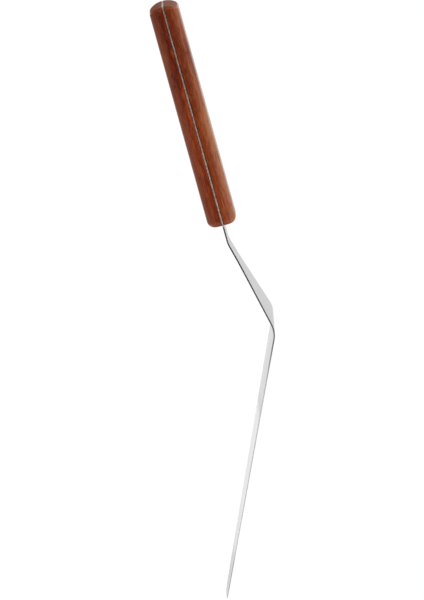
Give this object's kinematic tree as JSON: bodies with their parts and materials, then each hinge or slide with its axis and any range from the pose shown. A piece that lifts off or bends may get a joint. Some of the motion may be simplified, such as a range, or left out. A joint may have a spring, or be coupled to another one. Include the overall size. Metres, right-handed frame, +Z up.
{
  "type": "offset serving spatula",
  "caption": "Cranked serving spatula: a thin steel blade that tapers to a blunt rounded front, a double-bent neck and a full tang between two riveted wood handle scales.",
  "frame": {"origin": "middle of the blade's flat underside, halfway between the knee and the front edge", "axes": "+X along the blade to its front edge, +Z up out of the blade's upper face; the handle rises on the -X side"},
  "size_m": [0.323, 0.0684, 0.0975],
  "materials": {
    "steel": "fine lengthwise brushing",
    "handle_wood": "satin red-brown hardwood",
    "rivet_brass": "sanded flush, satin"
  },
  "bodies": {
    "root": {"blade": "steel", "upper_scale": "handle_wood", "lower_scale": "handle_wood", "rivet_male_1": "rivet_brass", "rivet_male_2": "rivet_brass", "rivet_male_3": "rivet_brass", "rivet_female_1": "rivet_brass", "rivet_female_2": "rivet_brass", "rivet_female_3": "rivet_brass"}
  },
  "joints": []
}
